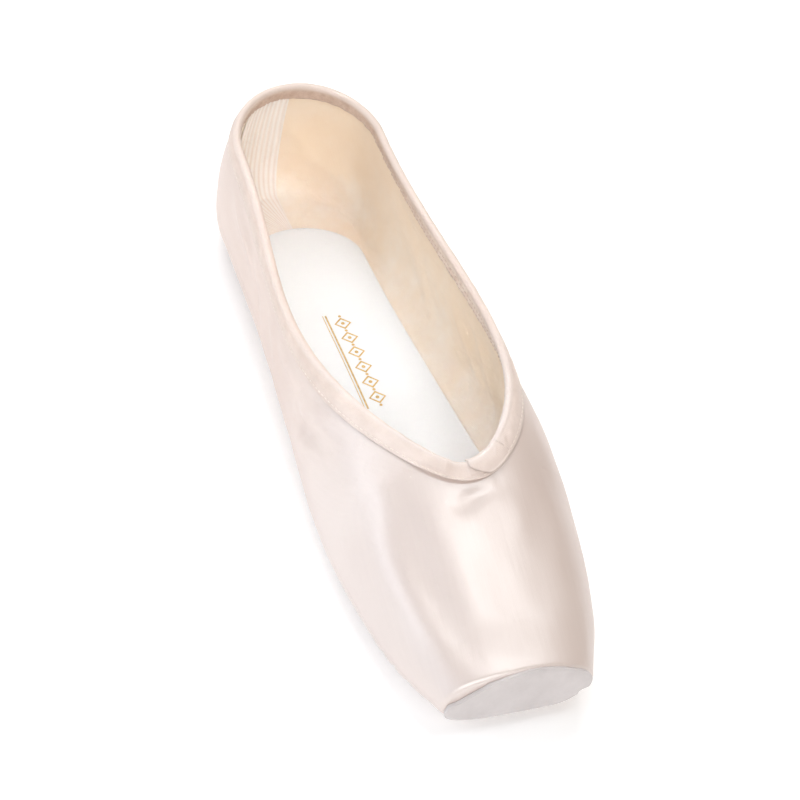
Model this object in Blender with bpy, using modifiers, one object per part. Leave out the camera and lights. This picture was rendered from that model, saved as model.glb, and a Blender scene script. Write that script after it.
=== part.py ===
"""Pre-pointe (demi-pointe) ballet shoe: upper, drawstring casing, outsole, insole and tip patch.

The shoe is straight lasted, so each piece is one half mirrored at X = 0. X runs across the shoe, -Y
points to the toe and +Y to the heel, +Z is up, and the origin lies on the floor under the middle of it.
Sizes are in millimetres, and a "run" is the distance behind the front of the toe box.
"""
from collections import namedtuple

import bpy
import numpy as np

MM = 0.001
COLLECTION = "pre_pointe_shoe"
GAP = 0.3                  # clearance between pieces that touch

# driving sizes
LENGTH = 235.0             # tip patch to heel
WALL = 2.0                 # the upper: satin, glued interlining and cotton
OUTSOLE = 2.3              # thickness of the outsole
INSOLE = 1.2               # thickness of the insole
PATCH = 0.8                # thickness of the tip patch
EXPONENT = 2.4             # roundness of the sections above their widest line
TOE_ROUNDING = 2.8         # radius of the platform's edge
TOE_DOME = 0.5             # how far the platform bulges forward
TOE_SPRING = (40.0, 2.0)   # run where the bottom starts to rise forward, and its rise at the toe
ARCH = (70.0, 190.0, 1.3)  # runs that the arch spans, and its height
HEEL_PIVOT = 205.0         # run of the upright line that the heel's sections turn about
HEEL_SQUARENESS = 2.15     # exponent of the heel's plan
HEEL_REACH = LENGTH - HEEL_PIVOT - TOE_DOME - GAP - PATCH

# the last: run, half width, height of the widest line, half width of the flat bottom
LAST = (
    (0.0, 23.8, 12.4, 7.0),
    (15.0, 29.4, 13.2, 16.5),
    (40.0, 34.8, 14.8, 25.0),
    (68.0, 37.0, 16.2, 28.0),
    (100.0, 35.4, 17.5, 24.5),
    (135.0, 32.3, 18.6, 21.0),
    (170.0, 29.9, 19.0, 20.5),
    (205.0, 28.4, 19.0, 21.5),
)
# the ridge of the vamp up to the throat: run, height
RIDGE = (
    (0.0, 23.8),
    (20.0, 31.6),
    (40.0, 39.8),
    (58.0, 46.6),
)
THROAT_SLOPE = 0.38                    # how steeply the ridge climbs at the throat
# the cut edge of the collar, from the throat back: run, half width, height
COLLAR = (
    (58.0, 0.0, 46.6),
    (67.0, 13.6, 48.0),
    (95.0, 27.2, 46.0),
    (141.0, 30.6, 41.4),
    (205.0, 25.2, 45.5),
)
COLLAR_SLOPE = 24.0                    # climb of the edge at the pivot, in its own spread
COLLAR_BACK = (25.2, 50.0)             # reach behind the pivot and height, at the back seam
UNDER_OPENING = (52.0, 184.0, 12.0)    # first run, last run and half width of the hole over the outsole

# the casing: depth down the outside, depth down the inside, thickness of its folded cloth
CASING = (6.0, 4.0, 0.7)

# outlines of the flat pieces, which have rounded ends: run, half width
OUTSOLE_OUTLINE = (
    (14.0, 15.0),
    (40.0, 24.0),
    (68.0, 27.0),
    (100.0, 23.5),
    (135.0, 20.0),
    (170.0, 19.5),
    (205.0, 20.5),
    (226.0, 20.5),
)
INSOLE_OUTLINE = (
    (24.0, 17.5),
    (40.0, 23.0),
    (68.0, 26.5),
    (100.0, 23.5),
    (135.0, 19.5),
    (170.0, 18.5),
    (204.0, 18.5),
)
ROUNDED_END = 16.0                     # length of the rounded end of a flat piece
FLAT_STEP = 10.0                       # spacing of the rows between the rounded ends

# how finely the halves are divided
VAMP_RUNS = 9
THROAT_RUNS = 8            # from the throat to the widest part of the opening
QUARTER_RUNS = 13
HEEL_TURNS = 12
UNDER_COLUMNS, CORNER_COLUMNS, SIDE_COLUMNS = 3, 5, 10

Section = namedtuple("Section", "half_width widest crown flat base collar")


# ---------------------------------------------------------------- curves through the tables

def column(table, index):
    """One named column of a table."""
    return np.array([row[index] for row in table])


def spline(knots, values, start_slope=None, end_slope=None):
    """Cubic spline through a table, with natural ends or the given end slopes."""
    gaps = np.diff(knots)
    slopes = np.diff(values) / gaps
    count = len(knots)
    matrix = np.eye(count)
    right = np.zeros(count)
    for i in range(1, count - 1):
        matrix[i, i - 1:i + 2] = gaps[i - 1], 2 * (gaps[i - 1] + gaps[i]), gaps[i]
        right[i] = 6 * (slopes[i] - slopes[i - 1])
    if start_slope is not None:
        matrix[0, :2] = 2 * gaps[0], gaps[0]
        right[0] = 6 * (slopes[0] - start_slope)
    if end_slope is not None:
        matrix[-1, -2:] = gaps[-1], 2 * gaps[-1]
        right[-1] = 6 * (end_slope - slopes[-1])
    bends = np.linalg.solve(matrix, right)

    def at(place):
        place = np.clip(place, knots[0], knots[-1])
        i = np.clip(np.searchsorted(knots, place) - 1, 0, count - 2)
        a = (knots[i + 1] - place) / gaps[i]
        b = 1.0 - a
        bulge = (a ** 3 - a) * bends[i] + (b ** 3 - b) * bends[i + 1]
        return a * values[i] + b * values[i + 1] + bulge * gaps[i] ** 2 / 6

    return at


def mix(first, second, share):
    """Blend of two values."""
    return first + (second - first) * share


# ---------------------------------------------------------------- the last

def collar_place(run):
    """0 at the throat and 1 at the heel pivot, spread so that the throat comes out round."""
    throat = COLLAR[0][0]
    return np.sqrt(np.clip((run - throat) / (HEEL_PIVOT - throat), 0.0, 1.0))


def crown_over(height, half_width, widest, cut):
    """Height of the section's crown over its widest line, if the section passes the cut edge."""
    return (height - widest) / (1 - (cut / half_width) ** EXPONENT) ** (1 / EXPONENT)


half_width_at = spline(column(LAST, 0), column(LAST, 1), end_slope=0.0)
widest_at = spline(column(LAST, 0), column(LAST, 2), end_slope=0.0)
flat_at = spline(column(LAST, 0), column(LAST, 3), end_slope=0.0)
ridge_at = spline(column(RIDGE, 0), column(RIDGE, 1), end_slope=THROAT_SLOPE)
collar_at = spline(collar_place(column(COLLAR, 0)), column(COLLAR, 1), end_slope=0.0)
edge_height_at = spline(collar_place(column(COLLAR, 0)), column(COLLAR, 2), 0.0, COLLAR_SLOPE)


def lift(run):
    """Rise of the bottom over the floor: toe spring in front and a low arch in the waist."""
    spring_run, spring = TOE_SPRING
    start, end, arch = ARCH
    forward = np.clip(1 - run / spring_run, 0.0, None)
    waist = np.clip((run - start) / (end - start), 0.0, 1.0)
    return spring * forward ** 2 + arch * np.sin(np.pi * waist) ** 2


def section(run, angle):
    """Sizes of the section at a run or, behind the heel pivot, at an angle about the pivot."""
    n = HEEL_SQUARENESS
    half_width = ((np.cos(angle) / half_width_at(run)) ** n + (np.sin(angle) / HEEL_REACH) ** n) ** (-1 / n)
    widest = widest_at(run)
    place = collar_place(run)
    reach, back_height = COLLAR_BACK
    collar = mix(collar_at(place), reach, np.sin(angle) ** 2)
    height = mix(edge_height_at(place), back_height, np.sin(angle))
    vamp = run < COLLAR[0][0]
    return Section(
        half_width=half_width,
        widest=widest,
        crown=np.where(vamp, ridge_at(run) - widest, crown_over(height, half_width, widest, collar)),
        flat=flat_at(run),
        base=OUTSOLE + GAP + lift(run),
        collar=np.where(vamp, 0.0, collar),
    )


def last_point(run, angle, radius, height):
    """Point of a section at a radius from the middle plane or from the heel pivot."""
    return np.stack(np.broadcast_arrays(radius * np.cos(angle), run + radius * np.sin(angle), height), -1)


def skin_level(point):
    """Below 0 inside the last, above 0 outside, for points over the widest line."""
    x, run, height = np.moveaxis(point, -1, 0)
    behind = np.clip(run - HEEL_PIVOT, 0.0, None)
    sizes = section(np.minimum(run, HEEL_PIVOT), np.arctan2(behind, np.abs(x) + 1e-9))
    across = np.hypot(x, behind) / sizes.half_width
    up = np.clip(height - sizes.widest, 0.0, None) / sizes.crown
    return across ** EXPONENT + up ** EXPONENT - 1


def skin_slope(point):
    """Gradient of skin_level."""
    step = 0.02 * np.eye(3)
    return np.stack([(skin_level(point + s) - skin_level(point - s)) / 0.04 for s in step], -1)


def unit(vector):
    """Vector or vectors of length 1."""
    return vector / np.linalg.norm(vector, axis=-1, keepdims=True)


def onto_skin(point):
    """Nearby point on the outside of the upper."""
    for _ in range(4):
        slope = skin_slope(point)
        point = point - slope * (skin_level(point) / (slope ** 2).sum(-1))[..., None]
    return point


# ---------------------------------------------------------------- sections of the upper

def under_opening(run):
    """Half width of the hole in the upper's underside, elliptical at both ends."""
    first, last, half_width = UNDER_OPENING
    inside = np.clip(np.minimum(run - first, last - run) / half_width, 0.0, 1.0)
    return half_width * np.sqrt(1 - (1 - inside) ** 2)


def half_section(run, angle, inset):
    """Half of a section, from its middle or hole underneath up to the ridge or collar."""
    sizes = section(run, angle)
    widest_half = sizes.half_width - inset
    base = sizes.base + inset
    flat = sizes.flat * widest_half / sizes.half_width
    hole = under_opening(run) if angle == 0 else 0.0
    under = np.linspace(hole, flat, UNDER_COLUMNS, endpoint=False)
    turn = np.linspace(0, np.pi / 2, CORNER_COLUMNS, endpoint=False)
    top = np.arccos((sizes.collar / widest_half) ** (EXPONENT / 2))
    rise = np.linspace(0, top, SIDE_COLUMNS + 1)
    radius = np.concatenate([
        under,
        flat + (widest_half - flat) * np.sin(turn),
        widest_half * np.cos(rise) ** (2 / EXPONENT),
    ])
    height = np.concatenate([
        np.full(UNDER_COLUMNS, base),
        base + (sizes.widest - base) * (1 - np.cos(turn)),
        sizes.widest + (sizes.crown - inset) * np.sin(rise) ** (2 / EXPONENT),
    ])
    return last_point(run, angle, radius, height)


def toe_rows(standoff, edge_turns):
    """Rows of the platform from its middle over its rounded edge, at a distance off the upper."""
    rows = []
    for turn in edge_turns:
        reach = TOE_ROUNDING + standoff
        row = half_section(0.0, 0.0, TOE_ROUNDING - reach * np.sin(turn))
        row[:, 1] = TOE_ROUNDING - reach * np.cos(turn)
        rows.append(row)
    edge = rows[0]
    middle = np.array([0.0, edge[0, 1], (edge[0, 2] + edge[-1, 2]) / 2])
    rings = []
    for share in (0.0, 0.4, 0.75):
        ring = mix(middle, edge, share)
        ring[:, 1] -= TOE_DOME * (1 - share ** 2)
        rings.append(ring)
    return rings + rows


def collar_stations():
    """Run and heel angle of each collar point, from the throat to the back seam."""
    throat = COLLAR[0][0]
    half_way = COLLAR[2][0]
    places = np.linspace(0, collar_place(half_way), THROAT_RUNS, endpoint=False)
    near = throat + (HEEL_PIVOT - throat) * places ** 2
    runs = np.append(near, np.linspace(half_way, HEEL_PIVOT, QUARTER_RUNS))
    turns = np.linspace(0, np.pi / 2, HEEL_TURNS + 1)[1:]
    return [(run, 0.0) for run in runs] + [(HEEL_PIVOT, turn) for turn in turns]


# ---------------------------------------------------------------- meshes

def half_mesh(name, rows, colour, roughness):
    """Object for half a piece from rows of points in millimetres, with coinciding points made one.

    Faces point to the side from which each row runs right when the next row lies above it.
    """
    places = {}
    grid = []
    for row in rows:
        row = np.where(np.abs(row) < 1e-6, 0.0, row)
        grid.append([places.setdefault(tuple(np.round(point, 5)), len(places)) for point in row])
    faces = []
    for lower, upper in zip(grid, grid[1:]):
        for a, b, c, d in zip(lower, lower[1:], upper[1:], upper):
            corners = list(dict.fromkeys((a, b, c, d)))
            if len(corners) > 2:
                faces.append(corners)
    middle = LENGTH / 2 - TOE_DOME - GAP - PATCH
    points = (np.array(list(places)) - [0.0, middle, 0.0]) * MM
    mesh = bpy.data.meshes.new(name)
    mesh.from_pydata(points.tolist(), [], faces)
    mesh.shade_smooth()
    mesh.set_sharp_from_angle(angle=np.radians(40))
    piece = bpy.data.objects.new(name, mesh)
    bpy.data.collections[COLLECTION].objects.link(piece)
    mesh.materials.append(material(name, colour, roughness))
    return piece


def material(name, colour, roughness):
    """Plain material of one piece."""
    finish = bpy.data.materials.new(name)
    finish.use_nodes = True
    shader = finish.node_tree.nodes["Principled BSDF"]
    shader.inputs["Base Color"].default_value = (*colour, 1.0)
    shader.inputs["Roughness"].default_value = roughness
    shader.inputs["Metallic"].default_value = 0.0
    return finish


def mirrored_shell(piece, thickness, side):
    """Mirror a half at X = 0 and thicken it, outwards for side 1 and inwards for side -1."""
    mirror = piece.modifiers.new("mirror", "MIRROR")
    mirror.use_clip = True
    mirror.merge_threshold = 0.00005
    solidify = piece.modifiers.new("thickness", "SOLIDIFY")
    solidify.thickness = thickness * MM
    solidify.offset = side
    solidify.use_quality_normals = True


# ---------------------------------------------------------------- pieces

def build_upper():
    """The hollow upper: box, vamp, quarters and heel in one wall."""
    rows = toe_rows(0.0, np.radians([0, 30, 60, 90]))
    throat = COLLAR[0][0]
    for run in np.linspace(TOE_ROUNDING, throat, VAMP_RUNS + 1)[1:-1]:
        rows.append(half_section(run, 0.0, 0.0))
    for run, angle in collar_stations():
        rows.append(half_section(run, angle, 0.0))
    mirrored_shell(half_mesh("upper", rows[::-1], (0.80, 0.62, 0.56), 0.35), WALL, -1)


def collar_point(run, angle):
    """Point on the upper's cut edge."""
    sizes = section(run, angle)
    rise = sizes.crown * (1 - (sizes.collar / sizes.half_width) ** EXPONENT) ** (1 / EXPONENT)
    return last_point(run, angle, sizes.collar, sizes.widest + rise)


def casing_frame():
    """Edge points of the collar with the direction outwards and the direction away from the opening."""
    edge = np.array([collar_point(run, angle) for run, angle in collar_stations()])
    mirrored = edge * [-1, 1, 1]
    looped = np.concatenate([mirrored[1:2], edge, mirrored[-2:-1]])
    along = unit(looped[2:] - looped[:-2])
    outwards = unit(skin_slope(edge))
    return edge, outwards, unit(np.cross(along, outwards))


def build_binding():
    """The drawstring casing, folded over the collar's edge."""
    outside, inside, cloth = CASING
    edge, outwards, away = casing_frame()
    steps = 4
    point, normal, heading = edge, outwards, away
    legs = [(edge, outwards)]
    for _ in range(steps):
        for _ in range(3):
            point = onto_skin(point + heading * outside / steps / 3)
            normal = unit(skin_slope(point))
            heading = unit(heading - normal * (heading * normal).sum(-1, keepdims=True))
        legs.append((point, normal))
    columns = [skin + facing * GAP for skin, facing in reversed(legs)]
    radius = WALL / 2 + GAP
    for turn in np.radians([36, 72, 108, 144]):
        rim = edge - outwards * WALL / 2
        columns.append(rim + radius * (outwards * np.cos(turn) - away * np.sin(turn)))
    share = inside / (outside / steps)
    for depth in (0.0, 0.5 * share, share):
        index = int(depth)
        skin = mix(legs[index][0], legs[index + 1][0], depth - index)
        facing = unit(mix(legs[index][1], legs[index + 1][1], depth - index))
        columns.append(skin - facing * (WALL + GAP))
    rows = np.stack(columns[::-1], 1)
    mirrored_shell(half_mesh("binding", rows, (0.83, 0.66, 0.60), 0.6), cloth, 1)


def outline_rows(outline, height, columns=5):
    """Rows across a flat piece with rounded ends, at its height over the lift of the bottom."""
    first, last = outline[0][0], outline[-1][0]
    half_width = spline(column(outline, 0), column(outline, 1))
    ease = ROUNDED_END * (1 - np.cos(np.radians([0, 18, 36, 54, 72])))
    between = np.arange(first + ROUNDED_END, last - ROUNDED_END + 1, FLAT_STEP)
    rows = []
    for run in np.concatenate([first + ease, between, last - ease[::-1]]):
        inside = min(run - first, last - run, ROUNDED_END) / ROUNDED_END
        across = half_width(run) * np.sqrt(1 - (1 - inside) ** 2) * np.linspace(0, 1, columns)
        rows.append(last_point(run, 0.0, across, lift(run) + height))
    return rows


def build_outsole():
    """Full-length leather outsole, inset from the upper's edge."""
    rows = outline_rows(OUTSOLE_OUTLINE, OUTSOLE)
    mirrored_shell(half_mesh("outsole", rows, (0.45, 0.36, 0.30), 0.8), OUTSOLE, -1)


def build_insole():
    """White sock that lies on the upper's turned-in edge."""
    rows = outline_rows(INSOLE_OUTLINE, OUTSOLE + WALL + 2 * GAP)
    mirrored_shell(half_mesh("insole", rows, (0.88, 0.86, 0.83), 0.7), INSOLE, 1)


def build_tip_patch():
    """Suede patch that covers the platform and wraps its edge."""
    rows = toe_rows(GAP, np.radians([0, 30, 60]))
    mirrored_shell(half_mesh("tip_patch", rows[::-1], (0.82, 0.78, 0.76), 0.85), PATCH, 1)


def build():
    """Make every piece in the shoe's collection."""
    for old in list(bpy.data.objects):
        bpy.data.objects.remove(old)
    pieces = bpy.data.collections.new(COLLECTION)
    bpy.context.scene.collection.children.link(pieces)
    build_upper()
    build_binding()
    build_outsole()
    build_insole()
    build_tip_patch()


build()
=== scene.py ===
"""Looks of the pre-pointe ballet shoe: satin, lining, casing, stitches, sock, sole, light and camera.

Sizes are in millimetres of the shoe, and a "run" is the distance behind the front of the toe box, as
in the shoe's own construction. X runs across, -Y points to the toe and +Y to the heel, +Z is up.
"""
from collections import namedtuple

import bpy
import numpy as np
from mathutils import Matrix, Quaternion, Vector


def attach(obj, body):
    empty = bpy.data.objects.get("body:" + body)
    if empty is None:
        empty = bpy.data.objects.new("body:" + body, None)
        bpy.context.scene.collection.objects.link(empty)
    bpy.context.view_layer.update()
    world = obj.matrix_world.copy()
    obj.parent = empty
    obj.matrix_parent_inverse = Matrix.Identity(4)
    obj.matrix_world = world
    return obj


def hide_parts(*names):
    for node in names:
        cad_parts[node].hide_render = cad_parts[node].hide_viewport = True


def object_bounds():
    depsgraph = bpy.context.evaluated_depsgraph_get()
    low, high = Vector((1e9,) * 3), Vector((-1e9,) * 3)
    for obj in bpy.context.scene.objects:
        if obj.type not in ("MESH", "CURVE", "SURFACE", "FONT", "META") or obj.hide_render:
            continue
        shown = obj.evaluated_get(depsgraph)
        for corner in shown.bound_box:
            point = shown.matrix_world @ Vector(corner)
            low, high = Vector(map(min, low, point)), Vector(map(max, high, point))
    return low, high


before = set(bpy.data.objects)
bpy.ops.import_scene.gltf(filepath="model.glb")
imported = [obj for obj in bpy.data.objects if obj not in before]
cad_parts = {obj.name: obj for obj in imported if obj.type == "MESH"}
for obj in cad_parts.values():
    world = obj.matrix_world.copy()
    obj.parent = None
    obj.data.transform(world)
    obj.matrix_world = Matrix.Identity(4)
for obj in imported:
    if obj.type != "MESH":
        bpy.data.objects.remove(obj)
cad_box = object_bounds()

# ------------------------------ sizes of the shoe

LENGTH = 235.0
GAP = 0.3
WALL = 2.0
SATIN = 0.5
LINING = 0.65
TAPE = 0.35
OUTSOLE = 2.3
PATCH = 0.8
EXPONENT = 2.4
TOE_ROUNDING = 2.2
TOE_DOME = 0.5
TOE_SPRING = (40.0, 2.0)     # run where it starts, rise at the front
ARCH = (70.0, 190.0, 1.3)    # first run, last run, rise
HEEL_PIVOT = 205.0
HEEL_SQUARENESS = 2.15
HEEL_REACH = LENGTH - HEEL_PIVOT - TOE_DOME - GAP - PATCH
MIDDLE = LENGTH / 2 - TOE_DOME - GAP - PATCH    # run under the origin

# the last: run, half width, height of the widest line, half width of the flat bottom
LAST = (
    (0.0, 23.8, 12.4, 7.0),
    (15.0, 29.4, 13.2, 16.5),
    (40.0, 34.8, 14.8, 25.0),
    (68.0, 37.0, 16.2, 28.0),
    (100.0, 35.4, 17.5, 24.5),
    (135.0, 32.3, 18.6, 21.0),
    (170.0, 29.9, 19.0, 20.5),
    (205.0, 28.4, 19.0, 21.5),
)
# the ridge of the vamp up to the throat: run, height
RIDGE = (
    (0.0, 23.8),
    (20.0, 31.6),
    (40.0, 39.8),
    (58.0, 46.6),
)
THROAT_SLOPE = 0.38
# the cut edge of the collar, from the throat back: run, half width, height
COLLAR = (
    (58.0, 0.0, 46.6),
    (67.0, 13.6, 48.0),
    (95.0, 27.2, 46.0),
    (141.0, 30.6, 41.4),
    (205.0, 25.2, 45.5),
)
COLLAR_SLOPE = 24.0
COLLAR_BACK = (25.2, 50.0)   # reach behind the heel pivot, height
CASING = (5.4, 4.0, 0.4)   # depth down the outside, depth down the inside, thickness of the cloth
RIM = 1.3                  # thickness of the upper at its cut edge
FOLD = RIM / 2 + GAP       # radius of the casing's fold over that edge
HEEL_WAY = 186.0           # way round the collar from the throat to the back seam
BEND = FOLD * np.pi / 2    # cloth from the top of that fold down to the edge's level
STITCH_DEPTH = 4.5         # from the casing's fold down to its stitches
DEEPEST = -0.24            # how far the casing may sink towards the upper
# outlines of the flat pieces, which have rounded ends: run, half width
OUTSOLE_OUTLINE = (
    (14.0, 15.0),
    (40.0, 24.0),
    (68.0, 27.0),
    (100.0, 23.5),
    (135.0, 20.0),
    (170.0, 19.5),
    (205.0, 20.5),
    (226.0, 20.5),
)
# the sock, which climbs a little at the sides: run, half width
SOCK_OUTLINE = (
    (20.0, 17.0),
    (40.0, 23.5),
    (68.0, 28.0),
    (100.0, 25.6),
    (135.0, 22.2),
    (170.0, 20.4),
    (209.0, 19.6),
)
SOCK = 0.9
STITCH = (1.35, 0.16, 1.9)              # length, radius and pitch of the casing's stitches
BACK_TAPE = (19.0, 0.4)                 # ways from the back seam to the tape's edges
ORNAMENT = (1.5, 122.0, 164.0, 7.0)     # sideways place, first run, last run, pitch
PATCH_LEAF = (22.6, 9.2, 11.5)          # half width, reach upwards and reach downwards
PATCH_TURN = 6.0                        # degrees that the patch is glued out of level
ROUNDED_END = 16.0
HALF_COLUMNS = 88                       # points round half a section of the upper
MIDDLE_RINGS = 15                       # rings of the platform inside its rounded edge
THROAT = COLLAR[0][0]
MM = (cad_box[1][1] - cad_box[0][1]) / LENGTH   # one millimetre of the shoe, in the frame's metres

Section = namedtuple("Section", "half_width widest crown flat base collar")
Sheet = namedtuple("Sheet", "points normals rows columns")   # a curved sheet and its two coordinates


# ------------------------------ curves through the tables

def listed(table, index):
    """Values of one column of a table."""
    return np.array([row[index] for row in table])


def spline(knots, values, start_slope=None, end_slope=None):
    """Cubic spline through a table, with natural ends or the given end slopes."""
    gaps = np.diff(knots)
    slopes = np.diff(values) / gaps
    count = len(knots)
    matrix = np.eye(count)
    right = np.zeros(count)
    for i in range(1, count - 1):
        matrix[i, i - 1:i + 2] = gaps[i - 1], 2 * (gaps[i - 1] + gaps[i]), gaps[i]
        right[i] = 6 * (slopes[i] - slopes[i - 1])
    if start_slope is not None:
        matrix[0, :2] = 2 * gaps[0], gaps[0]
        right[0] = 6 * (slopes[0] - start_slope)
    if end_slope is not None:
        matrix[-1, -2:] = gaps[-1], 2 * gaps[-1]
        right[-1] = 6 * (end_slope - slopes[-1])
    bends = np.linalg.solve(matrix, right)

    def at(place):
        place = np.clip(place, knots[0], knots[-1])
        i = np.clip(np.searchsorted(knots, place) - 1, 0, count - 2)
        a = (knots[i + 1] - place) / gaps[i]
        b = 1.0 - a
        bulge = (a ** 3 - a) * bends[i] + (b ** 3 - b) * bends[i + 1]
        return a * values[i] + b * values[i + 1] + bulge * gaps[i] ** 2 / 6

    return at


def mix(first, second, share):
    """Blend of two values."""
    return first + (second - first) * share


def smooth(value):
    """0 below 0, 1 above 1 and an even ease between."""
    value = np.clip(value, 0.0, 1.0)
    return value * value * (3 - 2 * value)


def unit(vector):
    """Vector or vectors of length 1."""
    return vector / np.maximum(np.linalg.norm(vector, axis=-1, keepdims=True), 1e-12)


def bell(value):
    """1 at 0 and falling evenly to 0 on both sides."""
    return np.exp(-value ** 2)


def travelled(points):
    """Length travelled from 0 along a line of points, or along each row of a grid."""
    steps = np.cumsum(np.linalg.norm(np.diff(points, axis=-2), axis=-1), axis=-1)
    return np.concatenate([np.zeros((*steps.shape[:-1], 1)), steps], -1)


# ------------------------------ the last

def collar_place(run):
    """0 at the throat and 1 at the heel pivot, spread so that the throat comes out round."""
    return np.sqrt(np.clip((run - THROAT) / (HEEL_PIVOT - THROAT), 0.0, 1.0))


half_width_at, widest_at, flat_at = (
    spline(listed(LAST, 0), listed(LAST, measure), end_slope=0.0) for measure in (1, 2, 3))
ridge_at = spline(listed(RIDGE, 0), listed(RIDGE, 1), end_slope=THROAT_SLOPE)
collar_at = spline(collar_place(listed(COLLAR, 0)), listed(COLLAR, 1), end_slope=0.0)
edge_height_at = spline(collar_place(listed(COLLAR, 0)), listed(COLLAR, 2), 0.0, COLLAR_SLOPE)


def lift(run):
    """Rise of the bottom over the floor: toe spring in front and a low arch in the waist."""
    spring_run, spring = TOE_SPRING
    start, end, arch = ARCH
    forward = np.clip(1 - run / spring_run, 0.0, None)
    waist = np.clip((run - start) / (end - start), 0.0, 1.0)
    return spring * forward ** 2 + arch * np.sin(np.pi * waist) ** 2


def section(run, angle):
    """Sizes of the section at a run or, behind the heel pivot, at an angle about the pivot."""
    n = HEEL_SQUARENESS
    half_width = ((np.cos(angle) / half_width_at(run)) ** n + (np.sin(angle) / HEEL_REACH) ** n) ** (-1 / n)
    widest = widest_at(run)
    place = collar_place(run)
    reach, back_height = COLLAR_BACK
    collar = mix(collar_at(place), reach, np.sin(angle) ** 2)
    height = mix(edge_height_at(place), back_height, np.sin(angle))
    crown = (height - widest) / (1 - (collar / half_width) ** EXPONENT) ** (1 / EXPONENT)
    vamp = run < THROAT
    return Section(
        half_width=half_width,
        widest=widest,
        crown=np.where(vamp, ridge_at(run) - widest, crown),
        flat=flat_at(run),
        base=OUTSOLE + GAP + lift(run),
        collar=np.where(vamp, 0.0, collar),
    )


def last_point(run, angle, radius, height):
    """Point of a section at a radius from the middle plane or from the heel pivot."""
    return np.stack(np.broadcast_arrays(radius * np.cos(angle), run + radius * np.sin(angle), height), -1)


def skin_level(point):
    """Below 0 inside the last, above 0 outside, for points over the widest line."""
    x, run, height = np.moveaxis(point, -1, 0)
    behind = np.clip(run - HEEL_PIVOT, 0.0, None)
    sizes = section(np.minimum(run, HEEL_PIVOT), np.arctan2(behind, np.abs(x) + 1e-9))
    across = np.hypot(x, behind) / sizes.half_width
    up = np.clip(height - sizes.widest, 0.0, None) / sizes.crown
    return across ** EXPONENT + up ** EXPONENT - 1


def skin_slope(point):
    """Gradient of skin_level."""
    step = 0.02 * np.eye(3)
    return np.stack([(skin_level(point + s) - skin_level(point - s)) / 0.04 for s in step], -1)


def onto_skin(point):
    """Nearby point on the outside of the upper."""
    for _ in range(4):
        slope = skin_slope(point)
        point = point - slope * (skin_level(point) / (slope ** 2).sum(-1))[..., None]
    return point


def half_section(run, angle):
    """Half of a section in even steps from its middle underneath up to the ridge or collar."""
    sizes = section(run, angle)
    turn = np.linspace(0, np.pi / 2, 24, endpoint=False)
    top = np.arccos((sizes.collar / sizes.half_width) ** (EXPONENT / 2))
    rise = np.linspace(0, 1, 60) ** 1.1 * top
    radius = np.concatenate([
        [0.0],
        sizes.flat + (sizes.half_width - sizes.flat) * np.sin(turn),
        sizes.half_width * np.cos(rise) ** (2 / EXPONENT),
    ])
    height = np.concatenate([
        [sizes.base],
        sizes.base + (sizes.widest - sizes.base) * (1 - np.cos(turn)),
        sizes.widest + sizes.crown * np.sin(rise) ** (2 / EXPONENT),
    ])
    if sizes.collar == 0:
        radius[-1] = 0.0
    length = np.append(0.0, np.cumsum(np.hypot(np.diff(radius), np.diff(height))))
    even = np.linspace(0, length[-1], HALF_COLUMNS)
    return last_point(run, angle, np.interp(even, length, radius), np.interp(even, length, height))


def collar_point(run, angle):
    """Point on the upper's cut edge."""
    sizes = section(run, angle)
    rise = sizes.crown * (1 - (sizes.collar / sizes.half_width) ** EXPONENT) ** (1 / EXPONENT)
    return last_point(run, angle, sizes.collar, sizes.widest + rise)


def collar_stations(step):
    """Runs and heel angles along one half of the collar, about a step apart."""
    half_way = COLLAR[2][0]
    reach = collar_at(collar_place(half_way))
    places = np.linspace(0, collar_place(half_way), int(reach * 1.8 / step), endpoint=False)
    near = THROAT + (HEEL_PIVOT - THROAT) * places ** 2
    runs = np.append(near, np.linspace(half_way, HEEL_PIVOT, int((HEEL_PIVOT - half_way) / step)))
    turns = np.linspace(0, np.pi / 2, int(HEEL_REACH * np.pi / 2 / step))[1:]
    return np.append(runs, np.full(len(turns), HEEL_PIVOT)), np.append(np.zeros(len(runs)), turns)


# ------------------------------ sheets

def facing(points):
    """Normals of a grid of points, outwards where columns climb the right side and rows run back."""
    down = np.gradient(points, axis=0)
    across = np.gradient(points, axis=1)
    return unit(np.cross(down, across))


def between_lines(place, lines):
    """Number of the grid line before each place, and the share of the way to the next one."""
    number = np.interp(place, lines, np.arange(len(lines)))
    before = np.minimum(number.astype(int), len(lines) - 2)
    return before, (number - before)[..., None]


def on_sheet(sheet, row, column, height=0.0):
    """Points at a height over a sheet, and the normals there."""
    row, column = np.broadcast_arrays(np.asarray(row, float), np.asarray(column, float))
    (i, down), (j, across) = between_lines(row, sheet.rows), between_lines(column, sheet.columns)

    def sample(values):
        near = mix(values[i, j], values[i, j + 1], across)
        return mix(near, mix(values[i + 1, j], values[i + 1, j + 1], across), down)

    normal = unit(sample(sheet.normals))
    return sample(sheet.points) + normal * np.asarray(height)[..., None], normal


def whole_section(half):
    """Section from its ridge or collar on the left round underneath to that on the right."""
    return np.concatenate([half[:0:-1] * [-1, 1, 1], half])


def toe_rim():
    """Outline of the toe's first section as a closed loop, its outward directions, and the turn of the
    platform's rounding at which it runs on into the sides.
    """
    rim, wider = (whole_section(half_section(run, 0.0))[:, [0, 2]] for run in (0.0, 1.0))
    outwards = unit(np.stack([np.gradient(rim[:, 1]), -np.gradient(rim[:, 0])], -1))
    outwards[0] = outwards[-1] = (0.0, 1.0)
    slope = ((wider - rim) * outwards).sum(-1)
    return rim, outwards, np.pi / 2 - np.arctan(slope)


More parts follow.
